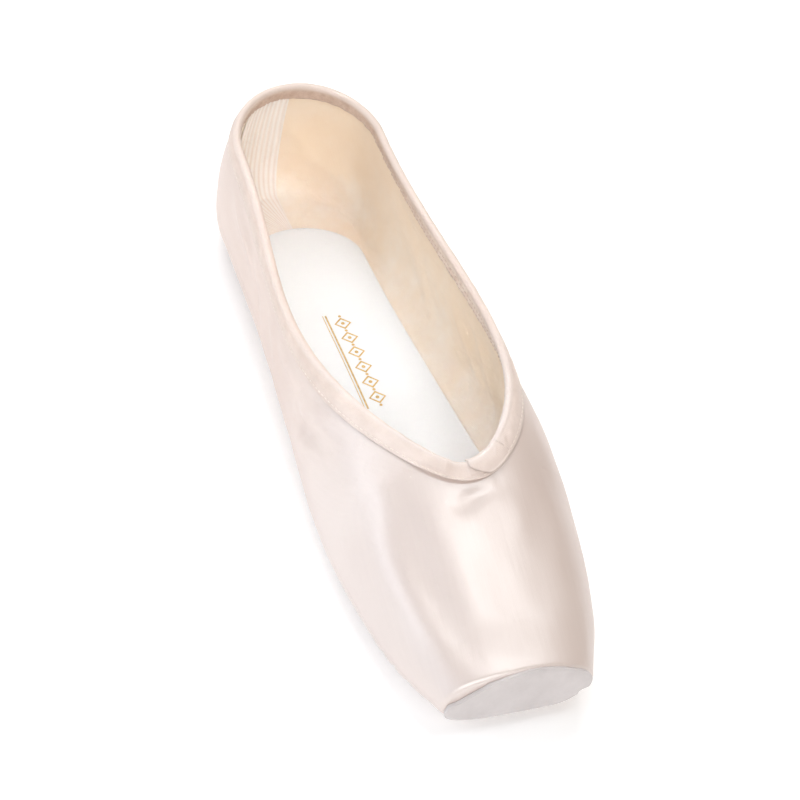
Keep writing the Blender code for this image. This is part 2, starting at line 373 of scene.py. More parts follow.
def toe_rings(standoff, share, count):
    """Closed rings of the platform from its middle over a share of its rounded edge, off the skin."""
    rim, outwards, edge = toe_rim()
    reach = TOE_ROUNDING + standoff
    rings = []
    for turn in np.linspace(0, edge * share, count):
        across = rim + outwards * (reach * np.sin(turn) - TOE_ROUNDING)[:, None]
        rings.append(np.insert(across, 1, TOE_ROUNDING - reach * np.cos(turn), axis=1))
    front = rings[0]
    middle = np.array([0.0, front[0, 1], front[:, 2].mean()])
    for part in np.linspace(1, 0, MIDDLE_RINGS + 1)[1:]:
        ring = mix(middle, front, part)
        ring[:, 1] -= TOE_DOME * (1 - part ** 2)
        rings.insert(0, ring)
    return np.array(rings)


def toe_inset(run):
    """Sideways moves that lead each section near the toe smoothly on from the platform's rounding."""
    _, outwards, edge = toe_rim()
    end = TOE_ROUNDING * (1 - np.cos(edge))
    step_in = TOE_ROUNDING * (1 - np.sin(edge)) + end / np.tan(edge)
    fade = 1 - smooth((run - end) / 16)
    moves = -outwards * (step_in * fade)[:, None]
    return np.insert(moves, 1, 0.0, axis=1)


def upper_sheet(step):
    """The upper's outside. Rows are ways travelled from the toe to the back seam, in millimetres, and
    columns go from the ridge or collar on the left, -1, by the middle underneath, 0, to the right, 1.
    """
    rounding = 9
    rows = list(toe_rings(0.0, 1.0, rounding))
    travels = [*np.linspace(-24, 0, MIDDLE_RINGS + 1), *np.linspace(0, TOE_ROUNDING, rounding)[1:]]
    seam = (2.0, 1.5, 1.1, 0.8, 0.5, 0.25, 0.0)    # ways left to the back seam, closer and closer
    turned = np.pi / 2 - np.array(seam) / HEEL_REACH
    before_seam = np.pi / 2 - 2.6 / HEEL_REACH
    stations = [(run, 0.0) for run in np.arange(TOE_ROUNDING + step, THROAT - step / 2, step)]
    stations.extend(place for place in zip(*collar_stations(step)) if place[1] < before_seam)
    stations.extend((HEEL_PIVOT, angle) for angle in turned)
    for run, angle in stations:
        row = whole_section(half_section(run, angle))
        rows.append(row + toe_inset(run) if run < 20 else row)
        travels.append(run + angle * HEEL_REACH)
    points, travels = np.array(rows), np.array(travels)
    normals = facing(points)
    vamp = travels < THROAT + 0.01
    ridge = unit(normals[vamp, 0] + normals[vamp, -1])
    normals[vamp, 0] = normals[vamp, -1] = ridge
    normals[-1, :, 0] = 0.0
    return Sheet(points, unit(normals), travels, np.linspace(-1, 1, points.shape[1]))


def collar_loop(step):
    """The collar's edge from the throat round by the right, with outward and downward directions."""
    runs, angles = collar_stations(step)
    right = np.array([collar_point(run, angle) for run, angle in zip(runs, angles)])
    edge = np.concatenate([right, right[-2::-1] * [-1, 1, 1]])
    looped = np.concatenate([edge[-2:-1], edge, edge[1:2]])
    along = unit(looped[2:] - looped[:-2])
    outwards = unit(skin_slope(edge))
    return edge, outwards, unit(np.cross(along, outwards))


def down_the_skin(edge, outwards, away, depths):
    """Points on the upper's outside at depths below its edge, each line with its outward directions."""
    point, heading = edge, away
    legs = [(edge, outwards)]
    for stride in np.diff(depths):
        for _ in range(2):
            point = onto_skin(point + heading * stride / 2)
            normal = unit(skin_slope(point))
            heading = unit(heading - normal * (heading * normal).sum(-1, keepdims=True))
        legs.append((point, normal))
    return legs


def casing_sheet(step):
    """The casing's cloth. Rows are ways round the collar from the throat by the right, in millimetres,
    and columns are depths below the folded edge, below 0 inside and above 0 outside.
    """
    outside, inside, _ = CASING
    edge, outwards, away = collar_loop(step)
    stride = 0.5
    depths = np.arange(0, outside + 1.01, stride)
    legs = down_the_skin(edge, outwards, away, depths)
    columns, normals, places = [], [], []
    for depth in depths[:int(inside / stride) + 2][::-1]:
        skin, facing_out = legs[int(depth / stride)]
        columns.append(skin - facing_out * (mix(RIM, WALL, smooth(depth / 5)) + GAP))
        normals.append(-facing_out)
        places.append(-depth - BEND)
    for turn in np.radians(np.arange(165, 0, -15)):
        direction = outwards * np.cos(turn) - away * np.sin(turn)
        columns.append(edge - outwards * RIM / 2 + FOLD * direction)
        normals.append(direction)
        places.append(-FOLD * (turn - np.pi / 2))
    for depth, (skin, facing_out) in zip(depths, legs):
        columns.append(skin + facing_out * GAP)
        normals.append(facing_out)
        places.append(depth + BEND)
    return Sheet(np.stack(columns, 1), np.stack(normals, 1), travelled(edge), np.array(places))


# ------------------------------ meshes

def to_world(points):
    """Points of the shoe, in millimetres and runs, as places in the frame."""
    return (np.asarray(points) - [0.0, MIDDLE, 0.0]) * MM


def quads_of(index, round_rows):
    """Corners of the quads between the rows of a grid of numbers."""
    ahead = np.roll(index, -1, axis=1) if round_rows else index[:, 1:]
    here = index if round_rows else index[:, :-1]
    return np.stack([here[:-1], ahead[:-1], ahead[1:], here[1:]], -1).reshape(-1, 4)


def add_mesh(name, points, faces, corner_uvs=None):
    """Smooth mesh object from points of the shoe and faces, with a thread map in millimetres."""
    mesh = bpy.data.meshes.new(name)
    mesh.from_pydata(to_world(points).tolist(), [], faces)
    if corner_uvs is not None:
        layer = mesh.uv_layers.new(name="thread")
        layer.data.foreach_set("uv", np.asarray(corner_uvs, np.float32).ravel())
    mesh.shade_smooth()
    piece = bpy.data.objects.new(name, mesh)
    bpy.context.scene.collection.objects.link(piece)
    return piece


def grid_mesh(name, points, threads, round_rows=False, keep=None):
    """Mesh through a grid of points, with coinciding points made one, and only the quads to keep."""
    flat = points.reshape(-1, 3)
    _, first, index = np.unique(np.round(flat, 4), axis=0, return_index=True, return_inverse=True)
    quads = quads_of(index.reshape(points.shape[:2]), round_rows)
    places = quads_of(np.arange(len(flat)).reshape(points.shape[:2]), round_rows)
    if keep is not None:
        quads, places = quads[keep.ravel()], places[keep.ravel()]
    faces, corners = [], []
    for quad, place in zip(quads.tolist(), places.tolist()):
        kept = [i for i in range(4) if quad[i] not in quad[:i]]
        if len(kept) > 2:
            faces.append([quad[i] for i in kept])
            corners.extend(place[i] for i in kept)
    used = np.unique(np.concatenate(faces))
    new_number = np.zeros(len(first), int)
    new_number[used] = np.arange(len(used))
    faces = [[int(new_number[i]) for i in face] for face in faces]
    return add_mesh(name, flat[first][used], faces, threads.reshape(-1, 2)[corners])


def circle(count):
    """Points round a circle of radius 1."""
    turns = np.linspace(0, 2 * np.pi, count, endpoint=False)
    return np.column_stack([np.cos(turns), np.sin(turns)])


def tube_faces(start, rings, sides, closed=False):
    """Quads between rings of points numbered from a start, and on to the first ring where closed."""
    faces = []
    for ring in range(rings if closed else rings - 1):
        low, high = start + ring * sides, start + (ring + 1) % rings * sides
        for k in range(sides):
            ahead = (k + 1) % sides
            faces.append((low + k, low + ahead, high + ahead, high + k))
    return faces


def dress(piece, material, slot, *nodes):
    """Put a piece on the shoe with its material, in place of the nodes that it stands for."""
    piece.data.materials.clear()
    piece.data.materials.append(material)
    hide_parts(*nodes)
    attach(piece, "root")


def build_sheet(name, points, threads, thickness, side, keep=None):
    """Solid of a grid of points, thickened outwards for side 1 and inwards for side -1."""
    piece = grid_mesh(name, points, threads, keep=keep)
    solidify = piece.modifiers.new("thickness", "SOLIDIFY")
    solidify.thickness = thickness * MM
    solidify.offset = side
    solidify.use_quality_normals = True
    return piece


def waves(points, scale, seed):
    """Soft seeded unevenness between about -1 and 1 over points of the shoe."""
    chance = np.random.default_rng(seed)
    total = np.zeros(points.shape[:-1])
    for _ in range(9):
        direction = unit(chance.normal(size=3))
        length = scale * chance.uniform(0.7, 1.6)
        total += np.sin(2 * np.pi * (points @ direction) / length + chance.uniform(0, 2 * np.pi))
    return total / 4.5


# ------------------------------ materials

def new_material(name, roughness, **sockets):
    """Principled material with plain values on its own sockets; returns it, its tree and its shader."""
    material = bpy.data.materials.new(name)
    material.use_nodes = True
    shader = material.node_tree.nodes["Principled BSDF"]
    shader.inputs["Roughness"].default_value = roughness
    for socket, value in sockets.items():
        shader.inputs[socket.replace("_", " ")].default_value = value
    return material, material.node_tree, shader


def node(tree, kind, inputs=None, **settings):
    """Shader node with its settings; an input is a value or another node's output."""
    made = tree.nodes.new("ShaderNode" + kind)
    for key, value in settings.items():
        setattr(made, key, value)
    for key, value in (inputs or {}).items():
        if isinstance(value, bpy.types.NodeSocket):
            tree.links.new(value, made.inputs[key])
        else:
            made.inputs[key].default_value = value
    return made


def thread_place(tree, across, along):
    """Coordinates across and along the threads in millimetres, each scaled."""
    threads = node(tree, "UVMap", uv_map="thread").outputs[0]
    return node(tree, "Mapping", {"Vector": threads, "Scale": (across, along, 1.0)}).outputs[0]


def object_place(tree, scale=1.0):
    """Coordinates in the shoe, in metres, scaled."""
    place = node(tree, "TexCoord").outputs["Object"]
    return node(tree, "Mapping", {"Vector": place, "Scale": (scale,) * 3}).outputs[0]


def axes_of(tree, place):
    """The three coordinates of a place."""
    return node(tree, "SeparateXYZ", {0: place}).outputs


def noise(tree, place, detail=3.0, roughness=0.5, scale=1.0):
    """Noise value at a place, or in the shoe where the place is a scale."""
    if isinstance(place, float):
        place = object_place(tree, place)
    inputs = {"Vector": place, "Scale": scale, "Detail": detail, "Roughness": roughness}
    return node(tree, "TexNoise", inputs).outputs[0]


def moved(tree, value, start, end, low=0.0, high=1.0):
    """Value from one range moved to another, without leaving it."""
    inputs = {"Value": value, "From Min": start, "From Max": end, "To Min": low, "To Max": high}
    return node(tree, "MapRange", inputs).outputs[0]


def between(tree, share, first, second):
    """Blend of two values."""
    return node(tree, "Mix", {"Factor": share, "A": first, "B": second}).outputs[0]


def blended(tree, share, first, second, kind="MIX"):
    """Blend of two colours."""
    inputs = {"Fac": share, "Color1": first, "Color2": second}
    return node(tree, "MixRGB", inputs, blend_type=kind).outputs[0]


def worked_out(tree, operation, *values):
    """Result of a sum or the like with one or two values."""
    return node(tree, "Math", dict(enumerate(values)), operation=operation).outputs[0]


def ramp(tree, value, stops):
    """Colours along a value, from a short table of (place, colour)."""
    made = node(tree, "ValToRGB", {"Fac": value})
    elements = made.color_ramp.elements
    while len(elements) < len(stops):
        elements.new(0.5)
    for element, (place, colour) in zip(elements, stops):
        element.position = place
        element.color = (*colour, 1.0)
    return made.outputs[0]


def paint(tree, shader, colour):
    """Use a colour as the surface's own."""
    tree.links.new(colour, shader.inputs["Base Color"])


def bumps(tree, shader, *layers):
    """Bump layers of (height, distance in metres, strength), one over the other."""
    normal = None
    for height, distance, strength in layers:
        inputs = {"Height": height, "Distance": distance, "Strength": strength}
        if normal is not None:
            inputs["Normal"] = normal
        normal = node(tree, "Bump", inputs).outputs[0]
    tree.links.new(normal, shader.inputs["Normal"])


def weave(tree, across, along):
    """Height of a plain weave with so many threads a millimetre across and along."""
    place = thread_place(tree, across, along)
    inputs = {"Vector": place, "Scale": 0.314, "Distortion": 0.6, "Detail": 1.0}
    waves_of = [node(tree, "TexWave", inputs, bands_direction=way) for way in ("X", "Y")]
    return worked_out(tree, "MAXIMUM", *(made.outputs["Fac"] for made in waves_of))


def painted_warm_shade(tree, tint, shade_tint):
    """Colour with painted shade and reflection: a little darker and warmer from the throat back."""
    behind = moved(tree, axes_of(tree, object_place(tree))[1], -0.045, 0.01)
    return blended(tree, behind, tint, (*shade_tint, 1.0), "MULTIPLY")


def grained_material(name, roughness, clouds, colours, *grains, **sockets):
    """Material coloured along one noise, over bumps; a noise is (scale, detail, roughness), and a bump is
    a noise with its distance and strength.
    """
    material, tree, shader = new_material(name, roughness, **sockets)
    paint(tree, shader, ramp(tree, noise(tree, *clouds), colours))
    bumps(tree, shader, *((noise(tree, *grain[:3]), *grain[3:]) for grain in grains))
    return material


def satin_material():
    """Pale pink satin: threads run along the shoe."""
    sockets = {"Anisotropic": 0.5, "Sheen_Weight": 0.15, "Sheen_Roughness": 0.35, "Specular_IOR_Level": 0.9}
    material, tree, shader = new_material("satin", 0.42, IOR=2.2, **sockets)
    shader.inputs["Sheen Tint"].default_value = (1.0, 0.93, 0.92, 1.0)
    streaks = noise(tree, thread_place(tree, 0.9, 0.03), 4.0, 0.6)
    tint = ramp(tree, between(tree, 0.75, streaks, noise(tree, 28.0, 2.0)), [
        (0.30, (0.61, 0.495, 0.45)),
        (0.50, (0.645, 0.53, 0.48)),
        (0.70, (0.68, 0.57, 0.52)),
    ])
    # painted shade and reflection: the satin is tinted darker and warmer from the throat back
    paint(tree, shader, painted_warm_shade(tree, tint, (0.93, 0.845, 0.78)))
    tree.links.new(moved(tree, streaks, 0.0, 1.0, 0.33, 0.39), shader.inputs["Roughness"])
    tangent = node(tree, "Tangent", direction_type="UV_MAP", uv_map="thread")
    tree.links.new(tangent.outputs[0], shader.inputs["Tangent"])
    threads = noise(tree, thread_place(tree, 6.0, 0.35), 2.0)
    slubs = noise(tree, thread_place(tree, 0.5, 0.05), 3.0)
    bumps(tree, shader, (slubs, 0.0002, 0.2), (threads, 0.00005, 0.4))
    return material


def cotton_material():
    """Warm beige cotton drill of the lining, with painted light: paler low down and on the left."""
    material, tree, shader = new_material("cotton", 0.85, Sheen_Weight=0.3, Sheen_Roughness=0.6)
    clouds = moved(tree, noise(tree, 35.0, 4.0, 0.6), 0.25, 0.75, 0.12, 0.74)
    sideways, _, height = axes_of(tree, object_place(tree))
    # painted light: paler low down and on the left, where more light falls into the heel and off the sock
    low = moved(tree, height, 0.006, 0.034, 0.35, -0.12)
    left = moved(tree, sideways, 0.012, -0.014, 0.0, 0.28)
    shade = worked_out(tree, "ADD", clouds, worked_out(tree, "ADD", low, left))
    paint(tree, shader, ramp(tree, shade, [
        (0.30, (0.94, 0.755, 0.565)),
        (0.60, (0.955, 0.80, 0.635)),
        (0.95, (0.98, 0.90, 0.81)),
    ]))
    bumps(tree, shader, (noise(tree, 110.0, 3.0), 0.0014, 0.5), (weave(tree, 1.8, 1.8), 0.00012, 0.6))
    return material


CASING_COLOURS = ((0.35, (0.66, 0.54, 0.48)), (0.65, (0.74, 0.62, 0.56)))
# painted highlight: the fold is coloured lighter than the tape, as if lit along its top
FOLD_HIGHLIGHT_COLOUR = (0.79, 0.695, 0.65)
INSIDE_COLOURS = ((0.0, (0.66, 0.49, 0.39)), (1.0, (0.86, 0.71, 0.60)))    # from the heel to the sides
BLOTCHES = ((0.35, (0.70, 0.58, 0.50)), (0.6, (1.0, 1.0, 1.0)))


def tape_material():
    """The casing's cotton tape, with a painted highlight on its fold, and darker inside at the heel."""
    sockets = {"Specular_IOR_Level": 0.8, "Sheen_Weight": 0.2, "Sheen_Roughness": 0.5}
    material, tree, shader = new_material("casing_tape", 0.5, IOR=1.6, **sockets)
    place = thread_place(tree, 1.0, 1.0)
    across, along, _ = axes_of(tree, place)
    clouds = noise(tree, place, 4.0, 0.6, 0.12)
    # mask of the painted highlight along the fold
    folded = ramp(tree, moved(tree, across, -2.0, 4.0), [
        (0.0, (0.0,) * 3),
        (0.3, (0.8,) * 3),
        (0.5, (0.8,) * 3),
        (0.72, (0.0,) * 3),
    ])
    outside = blended(tree, folded, ramp(tree, clouds, CASING_COLOURS), (*FOLD_HIGHLIGHT_COLOUR, 1.0))
    # painted shade and reflection: the tape is tinted darker and warmer from the throat back
    outside = painted_warm_shade(tree, outside, (0.96, 0.91, 0.86))
    from_heel = worked_out(tree, "ABSOLUTE", worked_out(tree, "SUBTRACT", along, HEEL_WAY))
    inside = ramp(tree, moved(tree, from_heel, 35.0, 80.0), INSIDE_COLOURS)
    blotches = ramp(tree, noise(tree, place, 5.0, 0.7, 0.35), BLOTCHES)
    inside = blended(tree, 0.7, inside, blotches, "MULTIPLY")
    paint(tree, shader, blended(tree, moved(tree, across, -1.1, -2.0), outside, inside))
    bumps(tree, shader, (clouds, 0.0006, 0.3), (weave(tree, 2.6, 1.6), 0.0001, 0.6))
    return material


def back_tape_material():
    """Pale ribbed tape with painted shade: thin darker lines between its ribs."""
    material, tree, shader = new_material("back_tape", 0.75, Sheen_Weight=0.3, Sheen_Roughness=0.5)
    inputs = {"Vector": thread_place(tree, 0.02, 1.0), "Scale": 0.152, "Distortion": 0.8}
    # painted shade: darker lines between the ribs
    lines = node(tree, "TexWave", inputs, bands_direction="Y").outputs["Fac"]
    clouds = noise(tree, thread_place(tree, 0.05, 0.5), 4.0, 0.6)
    paint(tree, shader, ramp(tree, between(tree, 0.5, lines, clouds), [
        (0.15, (0.86, 0.75, 0.67)),
        (0.45, (0.95, 0.88, 0.82)),
        (0.8, (0.98, 0.93, 0.89)),
    ]))
    bumps(tree, shader, (clouds, 0.0005, 0.3), (weave(tree, 2.0, 2.0), 0.0001, 0.6))
    return material


def suede_material():
    """White suede of the platform's patch, greyed a little with painted shade and pink bounce light."""
    material, tree, shader = new_material("suede", 0.92, Sheen_Weight=0.4, Sheen_Roughness=0.5)
    nap = noise(tree, 260.0, 6.0, 0.7)
    blend = between(tree, 0.4, noise(tree, 60.0), nap)
    # painted shade: the white suede is coloured grey-pink
    paint(tree, shader, ramp(tree, blend, [(0.3, (0.51, 0.465, 0.455)), (0.7, (0.62, 0.57, 0.56))]))
    bumps(tree, shader, (nap, 0.0003, 0.3), (noise(tree, 2200.0, 4.0, 0.7), 0.00012, 0.5))
    return material


def sock_material():
    """White smooth sock with a fine grain."""
    colours = [(0.3, (0.82, 0.845, 0.865)), (0.7, (0.845, 0.87, 0.89))]
    grains = (45.0, 3.0, 0.5, 0.0006, 0.3), (1500.0, 3.0, 0.5, 0.00008, 0.5)
    sheen = {"Sheen_Weight": 0.15, "Sheen_Roughness": 0.5}
    return grained_material("sock", 0.6, (45.0, 3.0), colours, *grains, **sheen)


def leather_material():
    """Brown split leather of the outsole."""
    material, tree, shader = new_material("sole_leather", 0.8)
    clouds = noise(tree, 40.0, 5.0, 0.6)
    paint(tree, shader, ramp(tree, clouds, [(0.3, (0.30, 0.19, 0.13)), (0.7, (0.44, 0.30, 0.21))]))
    cells = node(tree, "TexVoronoi", {"Vector": object_place(tree, 900.0)}).outputs[0]
    bumps(tree, shader, (cells, 0.00015, 0.4), (noise(tree, 1800.0, 4.0, 0.7), 0.0001, 0.5))
    return material


def thread_material(name, colour):
    """Twisted sewing thread."""
    colours = [(0.3, tuple(0.88 * c for c in colour)), (0.7, colour)]
    twist = (3000.0, 2.0, 0.5)
    return grained_material(name, 0.55, twist, colours, (*twist, 0.0001, 0.6), Sheen_Weight=0.3)


def gold_material():
    """Worn gold foil."""
    colours = [(0.3, (0.55, 0.36, 0.12)), (0.7, (0.80, 0.58, 0.24))]
    worn = (900.0, 4.0, 0.7)
    return grained_material("gold_foil", 0.42, worn, colours, (*worn, 0.00005, 0.5), Metallic=0.55)


def floor_material():
    """Plain white backdrop, lit from behind further away."""
    white = {"Emission_Color": (1.0,) * 4, "Base_Color": (0.93, 0.93, 0.93, 1.0)}
    material, tree, shader = new_material("floor", 0.9, Specular_IOR_Level=0.1, **white)
    distance = node(tree, "VectorMath", {0: object_place(tree)}, operation="LENGTH").outputs["Value"]
    tree.links.new(moved(tree, distance, 0.6, 2.2, 0.18, 0.65), shader.inputs["Emission Strength"])
    return material


# ------------------------------ relief of the satin

# creases of the satin: half width, depth (below 0 for a ridge), then points as (way, turn), where the
# turn is 0 on the ridge or collar and 1 in the middle underneath, below 0 on the left
CREASES = (
    (3.6, 0.75, ((45, -0.08), (48, -0.03), (51, 0.02), (55, 0.08))),       # dimple under the throat
    (4.5, -0.40, ((50, 0.10), (46, 0.12), (41, 0.13), (35, 0.12))),
    (6.0, -1.15, (
        (72, -0.22), (62, -0.25), (50, -0.31), (40, -0.34), (28, -0.33), (14, -0.32), (2, -0.33),
    )),
    (5.6, 0.95, ((50, -0.23), (39, -0.235), (28, -0.24), (16, -0.235), (3, -0.22))),
    (3.0, 1.60, ((106, -0.30), (97, -0.25), (88, -0.22), (79, -0.21))),    # pinch at the left arch
    (3.8, -1.40, ((110, -0.25), (100, -0.18), (91, -0.15), (83, -0.14))),
    (3.8, -1.20, ((106, -0.37), (96, -0.32), (86, -0.30))),
    (3.4, -0.80, ((198, -0.17), (184, -0.20), (168, -0.18), (151, -0.16))),  # folds of the left quarter
    (3.8, 0.85, ((202, -0.26), (186, -0.30), (170, -0.29), (156, -0.25))),
    (3.2, -0.80, ((132, -0.17), (118, -0.16), (106, -0.13))),
    (3.6, 0.80, ((134, -0.25), (120, -0.25), (108, -0.23))),
    (2.6, 0.60, ((176, -0.13), (165, -0.20), (156, -0.30), (150, -0.40))),
    (2.8, -0.60, ((146, -0.13), (137, -0.22), (130, -0.33))),
    (6.5, -0.70, ((92, 0.17), (80, 0.18), (69, 0.20), (58, 0.25))),         # soft folds on the right
    (5.0, 0.50, ((70, 0.13), (62, 0.20), (55, 0.27), (48, 0.31))),
    (5.5, -0.35, ((55, 0.20), (42, 0.24), (27, 0.25), (12, 0.27))),
    (3.2, 0.60, ((108, 0.30), (99, 0.25), (91, 0.22), (83, 0.22))),
    (3.4, -0.55, ((112, 0.25), (103, 0.19), (94, 0.16))),
    (3.8, 0.45, ((201, 0.24), (184, 0.29), (168, 0.28), (152, 0.24))),
    (3.4, -0.40, ((196, 0.17), (180, 0.20), (163, 0.19))),
    (3.2, -0.40, ((136, 0.20), (122, 0.21), (110, 0.18))),
    (2.0, -0.50, ((198, -0.135), (189, -0.175), (180, -0.185), (171, -0.18))),  # narrow wrinkles
    (2.0, 0.42, ((194, -0.195), (185, -0.225), (175, -0.225))),
    (2.0, 0.50, ((107, -0.19), (101, -0.24), (95, -0.30))),
    (2.0, -0.42, ((102, -0.17), (97, -0.215), (91, -0.26))),
    (2.0, -0.40, ((190, 0.15), (181, 0.185), (172, 0.19), (163, 0.18))),
    (3.0, 0.40, ((122, -0.62), (114, -0.52), (104, -0.46))),                # drag lines from the sole
    (3.0, 0.40, ((150, -0.60), (141, -0.50), (130, -0.44))),
    (3.0, 0.40, ((120, 0.62), (111, 0.52), (101, 0.46))),
    (3.0, 0.40, ((152, 0.60), (143, 0.49), (133, 0.43))),
    (3.0, 0.35, ((222, -0.55), (226, -0.42), (231, -0.30))),
    (3.0, 0.35, ((224, 0.56), (229, 0.42), (233, 0.30))),
)
# wrinkles of the lining alone, in the same terms
LINING_CREASES = (
    (4.0, 1.10, ((150, 0.30), (138, 0.36), (127, 0.41), (116, 0.46))),
    (3.2, -1.00, ((143, 0.24), (133, 0.31), (124, 0.37), (113, 0.43))),
    (3.0, 1.00, ((134, 0.20), (126, 0.28), (117, 0.36), (105, 0.42))),
    (2.6, -0.90, ((128, 0.17), (119, 0.25), (110, 0.33), (101, 0.38))),
    (3.4, 0.70, ((166, 0.28), (154, 0.38), (142, 0.45))),
    (3.0, -0.60, ((176, 0.28), (162, 0.38), (149, 0.47))),
    (3.0, 0.75, ((118, 0.15), (109, 0.22), (99, 0.29), (92, 0.36))),
    (2.6, -0.60, ((110, 0.13), (101, 0.19), (93, 0.26))),
    (3.0, 0.60, ((101, 0.11), (92, 0.17), (84, 0.25))),
    (1.8, 1.00, ((122, 0.30), (115, 0.36), (109, 0.44), (104, 0.52))),
    (2.0, -0.90, ((116, 0.28), (110, 0.35), (104, 0.43), (98, 0.51))),
    (1.8, 0.90, ((108, 0.33), (101, 0.40), (95, 0.48))),
    (3.0, 0.50, ((150, -0.30), (138, -0.37), (127, -0.42))),
    (2.6, -0.50, ((140, -0.22), (129, -0.30), (118, -0.36))),
    (4.0, 0.50, ((196, 0.22), (208, 0.34), (220, 0.44))),
    (3.5, -0.45, ((190, 0.34), (203, 0.43), (216, 0.50))),
    (3.5, 0.40, ((228, 0.30), (226, 0.42), (230, 0.55))),
)
# wrinkles across the casing near the throat: half width, depth, points as (way, depth below the fold)
CASING_CREASES = (
    (0.9, 0.45, ((2.5, 4.8), (5.0, 2.6), (7.5, 0.4), (9.5, -2.2))),
    (1.0, -0.45, ((4.8, 5.0), (7.2, 2.9), (10.0, 0.8), (12.0, -1.8))),
    (0.8, 0.35, ((8.0, 4.6), (10.5, 2.6), (13.5, 0.9))),
    (0.8, 0.30, ((13.0, 4.5), (15.0, 2.8), (17.0, 1.0))),
    (0.8, -0.25, ((17.0, 4.2), (19.5, 2.4), (21.5, 0.8))),
    (0.8, 0.25, ((22.0, 4.4), (24.0, 2.8), (26.5, 1.2))),
)


def turn_to_share(turn):
    """Column of the upper's sheet at a turn from the ridge or collar."""
    return np.where(turn < 0, -1 - turn, 1 - turn)


def crease_relief(sheet, creases, to_column=turn_to_share):
    """Height of listed creases over a sheet: soft troughs with low shoulders, and ridges."""
    total = np.zeros(sheet.points.shape[:-1])
    marks = 24
    for width, depth, route in creases:
        ways, turns = np.array(route, float).T
        places = np.linspace(0, len(ways) - 1, marks)
        knots = np.arange(len(ways))
        way, turn = spline(knots, ways)(places), spline(knots, turns)(places)
        line, _ = on_sheet(sheet, way, to_column(turn))
        reach = np.linalg.norm(sheet.points[..., None, :] - line, axis=-1)
        nearest = reach.argmin(-1)
        distance = np.take_along_axis(reach, nearest[..., None], -1)[..., 0] / width
        fade = np.sin(np.pi * (nearest + 0.5) / marks) ** 0.8
        total -= depth * fade * (bell(distance) - 0.3 * bell(distance / 2.2))
    return total


def back_seam_relief(sheet):
    """Narrow groove of the back seam between two low swells."""
    x = sheet.points[..., 0]
    heel = smooth((sheet.rows[:, None] - (HEEL_PIVOT + 20)) / 6) * smooth(np.abs(sheet.columns) * 4 - 1)
    puckers = 0.12 * np.cos(sheet.points[..., 2] * 2 * np.pi / 3.4) * bell((np.abs(x) - 1.6) / 1.3)
    return heel * (0.30 * bell(x / 2.8) - 0.75 * bell(x / 0.45) + puckers)


def pleat_relief(sheet):
    """Pleats gathered under the toe between the platform and the outsole."""
    x, run, height = np.moveaxis(sheet.points, -1, 0)
    turn = np.arctan2(x, 34 - run)
    folds = np.abs(np.sin(turn * 14 + 0.6 * np.sin(turn * 5)))
    low = smooth((11 - height) / 5) * smooth((38 - run) / 12) * smooth((run - 1.5) / 4)
    return low * (0.5 - 0.8 * (1 - folds) ** 2)


def clear_of_edge(sheet, start=5.6, end=9.0):
    """0 under the casing and 1 well below it."""
    length = travelled(sheet.points)
    from_edge = np.minimum(length, length[:, -1:] - length)
    behind = smooth((from_edge - start) / (end - start))
    before = smooth((THROAT - start - sheet.rows[:, None]) / (end - start))
    return np.where(sheet.rows[:, None] < THROAT, np.maximum(before, behind), behind)


# ------------------------------ pieces of the upper

def thread_map(sheet):
    """Distance from the ridge or collar and way along the shoe, in millimetres, for each point."""
    middle = len(sheet.columns) // 2
    left = -travelled(sheet.points[:, :middle + 1])
    right = travelled(sheet.points[:, :middle - 1:-1])[:, -2::-1]
    across = np.concatenate([left, right], 1)
    return np.stack(np.broadcast_arrays(across, sheet.rows[:, None]), -1)


def around_opening(sheet):
    """True for the quads round the opening in the underside."""
    centre = (sheet.points[1:, 1:] + sheet.points[:-1, :-1]) / 2
    x, run, height = np.moveaxis(centre, -1, 0)
    low = height < section(np.clip(run, 0, HEEL_PIVOT), 0.0).base + 0.5
    return ~(low & (np.hypot(x / 11, np.clip(np.maximum(64 - run, run - 172) / 12, 0, None)) < 1))


def fold_relief(skin):
    """Height of the folds that the satin and the lining share."""
    clear = clear_of_edge(skin) * smooth((skin.rows[:, None] + 0.5) / 5)
    uneven = 0.16 * waves(skin.points, 36.0, 4) + 0.07 * waves(skin.points, 12.0, 7)
    return clear * (crease_relief(skin, CREASES) + uneven)


def build_layer(name, skin, relief, thickness):
    """Cloth that lies on the upper's outside at a relief, open underneath."""
    points = skin.points + skin.normals * relief[..., None]
    keep = around_opening(skin)[::-1]
    return build_sheet(name, points[::-1], thread_map(skin)[::-1], thickness, -1, keep)


def build_satin(skin, folds, material):
    """The satin, with its creases, as a shell over the lining."""
    relief = folds + back_seam_relief(skin) + pleat_relief(skin)
    dress(build_layer("satin_shell", skin, relief, SATIN), material, "satin", "upper")


def build_lining(skin, folds, material):
    """The cotton lining inside the satin, wrinkled where it has come loose."""
    wrinkles = crease_relief(skin, LINING_CREASES) + 0.10 * waves(skin.points, 15.0, 9)
    inset = 0.6 + 0.5 * clear_of_edge(skin, 1.0, 6.0) - 0.8 * folds
    inset += np.maximum(1.5 * clear_of_edge(skin, 4.5, 9.0) * wrinkles, -0.3)
    dress(build_layer("cotton_lining", skin, -inset, LINING), material, "sock", "upper")


